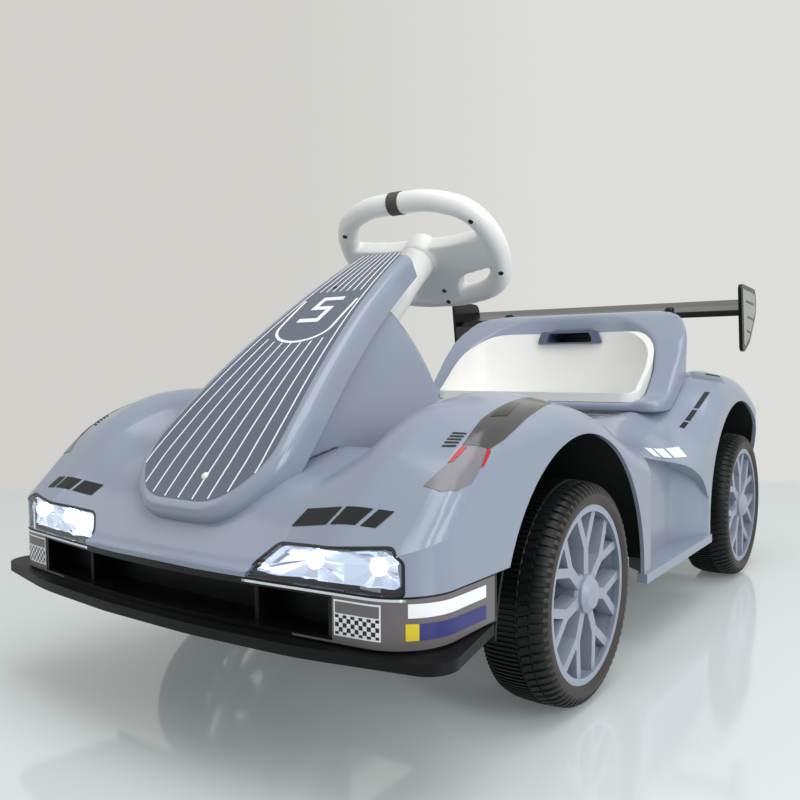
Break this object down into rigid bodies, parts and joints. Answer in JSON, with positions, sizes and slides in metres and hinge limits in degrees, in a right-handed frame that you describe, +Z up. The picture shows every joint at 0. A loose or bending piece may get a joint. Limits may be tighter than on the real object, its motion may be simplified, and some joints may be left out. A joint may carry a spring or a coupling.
{
  "type": "ride-on electric go-kart",
  "caption": "Child's electric go-kart: a moulded body with swooping fenders over a black chassis, steered front wheels, a wrap-around seat, a steering wheel and a rear wing",
  "frame": {"origin": "on the floor, midway along the kart's length and on its centre plane", "axes": "+Z up, the kart faces -Y, its left side is +X"},
  "size_m": [0.508, 1.02, 0.4904],
  "materials": {
    "body": "gloss",
    "white": "satin",
    "black": "satin",
    "rim": "satin",
    "tyre": "matt",
    "lens": "clear",
    "reflector": "bright",
    "steel": "satin",
    "battery": "matt"
  },
  "bodies": {
    "kart": {"body_shell": "body", "headlamp_cover_left": "lens", "headlamp_reflector_left": "reflector", "headlamp_cover_right": "lens", "headlamp_reflector_right": "reflector", "front_bumper": "body", "grille_tray": "black", "front_splitter": "black", "nose_cowl": "body", "dash_pedestal": "body", "footwell_tub": "body", "seat_shell": "body", "seat_liner": "white", "wing_blade": "black", "wing_end_plate_left": "black", "wing_end_plate_right": "black", "wing_strut_left": "black", "wing_strut_right": "black", "wheel_liner_front_left": "black", "wheel_liner_front_right": "black", "wheel_liner_rear_left": "black", "wheel_liner_rear_right": "black", "chassis": "black", "front_axle_beam": "steel", "rear_axle": "steel", "gearbox_left": "black", "gearbox_right": "black", "battery": "battery", "accelerator_pedal": "black"},
    "steering": {"steering_wheel": "white", "steering_column": "white", "steering_rod": "steel"},
    "link": {"tie_rod": "steel"},
    "hub_left": {"knuckle_left": "steel"},
    "hub_right": {"knuckle_right": "steel"},
    "wheel_front_left": {"tyre_front_left": "tyre", "rim_front_left": "rim", "hub_cap_front_left": "rim"},
    "wheel_front_right": {"tyre_front_right": "tyre", "rim_front_right": "rim", "hub_cap_front_right": "rim"},
    "wheel_rear_left": {"tyre_rear_left": "tyre", "rim_rear_left": "rim", "hub_cap_rear_left": "rim"},
    "wheel_rear_right": {"tyre_rear_right": "tyre", "rim_rear_right": "rim", "hub_cap_rear_right": "rim"}
  },
  "joints": [
    {"name": "steering_turn", "type": "hinge", "parent": "kart", "child": "steering", "pos_m": [0, -0.122, 0.431], "axis": [0, 0.7071, 0.7071], "range_deg": [-32, 32]},
    {"name": "steer_left", "type": "hinge", "parent": "kart", "child": "hub_left", "pos_m": [0.158, -0.22, 0.1], "axis": [0, 0, 1], "range_deg": [-20, 20]},
    {"name": "steer_right", "type": "hinge", "parent": "kart", "child": "hub_right", "pos_m": [-0.158, -0.22, 0.1], "axis": [0, 0, 1], "range_deg": [-20, 20]},
    {"name": "tie_slide", "type": "slide", "parent": "kart", "child": "link", "axis": [1, 0, 0], "range_m": [-0.0165, 0.0165]},
    {"name": "spin_front_left", "type": "hinge", "parent": "hub_left", "child": "wheel_front_left", "pos_m": [0.213, -0.22, 0.1], "axis": [1, 0, 0], "continuous": true},
    {"name": "spin_front_right", "type": "hinge", "parent": "hub_right", "child": "wheel_front_right", "pos_m": [-0.213, -0.22, 0.1], "axis": [1, 0, 0], "continuous": true},
    {"name": "spin_rear_left", "type": "hinge", "parent": "kart", "child": "wheel_rear_left", "pos_m": [0.213, 0.324, 0.1], "axis": [1, 0, 0], "continuous": true},
    {"name": "spin_rear_right", "type": "hinge", "parent": "kart", "child": "wheel_rear_right", "pos_m": [-0.213, 0.324, 0.1], "axis": [1, 0, 0], "continuous": true}
  ],
  "couplings": [
    {"joint": "steer_left", "follows": "steering_turn", "ratio": 0.625},
    {"joint": "steer_right", "follows": "steering_turn", "ratio": 0.625},
    {"joint": "tie_slide", "follows": "steering_turn", "m_per_rad": 0.02875}
  ]
}
